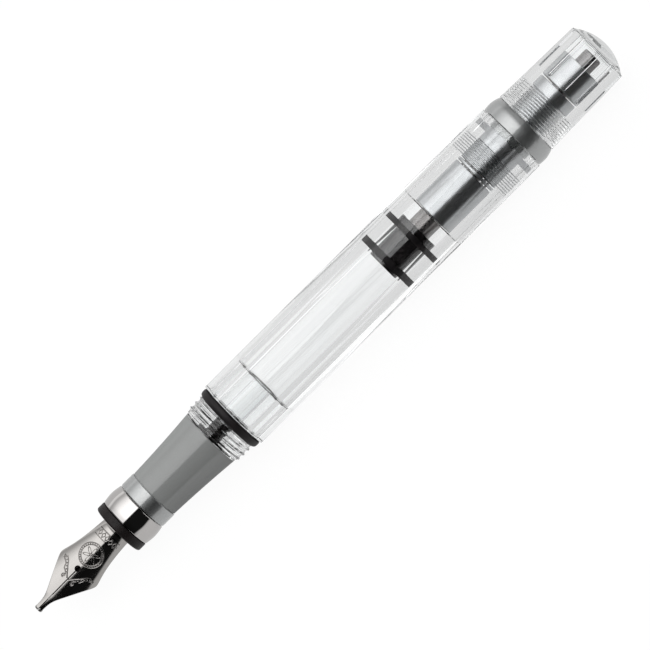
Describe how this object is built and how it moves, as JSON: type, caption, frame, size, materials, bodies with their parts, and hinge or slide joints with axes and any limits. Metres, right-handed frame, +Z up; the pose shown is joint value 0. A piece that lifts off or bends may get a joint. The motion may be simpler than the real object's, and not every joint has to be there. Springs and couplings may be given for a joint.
{
  "type": "fountain pen",
  "caption": "Transparent piston-filling fountain pen with a faceted clear barrel, satin metal grip, steel nib and a clear turning knob, shown without its cap.",
  "frame": {"origin": "centre of the footprint of the whole pen, on the surface that it lies on", "axes": "+X along the pen from the nib to the turning knob, +Z up from the surface that the pen lies on, with the nib's top 13.5 degrees from +Z towards -Y"},
  "size_m": [0.131, 0.0136, 0.013],
  "materials": {
    "nib_steel": "polished stainless steel",
    "tipping": "polished hard alloy",
    "black_plastic": "glossy black",
    "seal_rubber": "matt black rubber",
    "chrome_ring": "polished",
    "satin_anodised": "fine blasted, grey anodised",
    "clear_plastic": "clear polished acrylic",
    "turned_aluminium": "fine turned, satin",
    "retainer_brass": "turned",
    "grey_plastic": "grey, satin",
    "screw_steel": "turned steel"
  },
  "bodies": {
    "root": {"nib": "nib_steel", "nib_tipping": "tipping", "feed": "black_plastic", "nib_housing": "black_plastic", "housing_seal": "seal_rubber", "front_ring": "chrome_ring", "grip_sleeve": "satin_anodised", "section_core": "clear_plastic", "section_o_ring": "seal_rubber", "section_gasket": "seal_rubber", "barrel": "clear_plastic", "piston_guide": "turned_aluminium", "guide_washer": "turned_aluminium", "connector": "turned_aluminium", "spindle_retainer": "retainer_brass", "rear_collar": "satin_anodised"},
    "piston": {"piston_body": "black_plastic", "piston_front_seal": "seal_rubber", "piston_rear_seal": "seal_rubber", "piston_rod": "grey_plastic"},
    "spindle": {"drive_screw": "screw_steel", "spline_coupling": "turned_aluminium", "coupling_screw": "screw_steel"},
    "knob": {"knob_shell": "clear_plastic", "knob_end_cap": "clear_plastic"}
  },
  "joints": [
    {"name": "knob_turn", "type": "hinge", "parent": "root", "child": "spindle", "pos_m": [0.0555, 0, 0.00652], "axis": [1, 0, 0], "range_deg": [0, 1260]},
    {"name": "knob_rise", "type": "slide", "parent": "spindle", "child": "knob", "axis": [1, 0, 0], "range_m": [0, 0.00176]},
    {"name": "piston_stroke", "type": "slide", "parent": "root", "child": "piston", "axis": [-1, 0, 0], "range_m": [0, 0.0246]}
  ],
  "couplings": [
    {"joint": "knob_rise", "follows": "knob_turn", "m_per_rad": 0.00007957},
    {"joint": "piston_stroke", "follows": "knob_turn", "m_per_rad": 0.0011141}
  ]
}
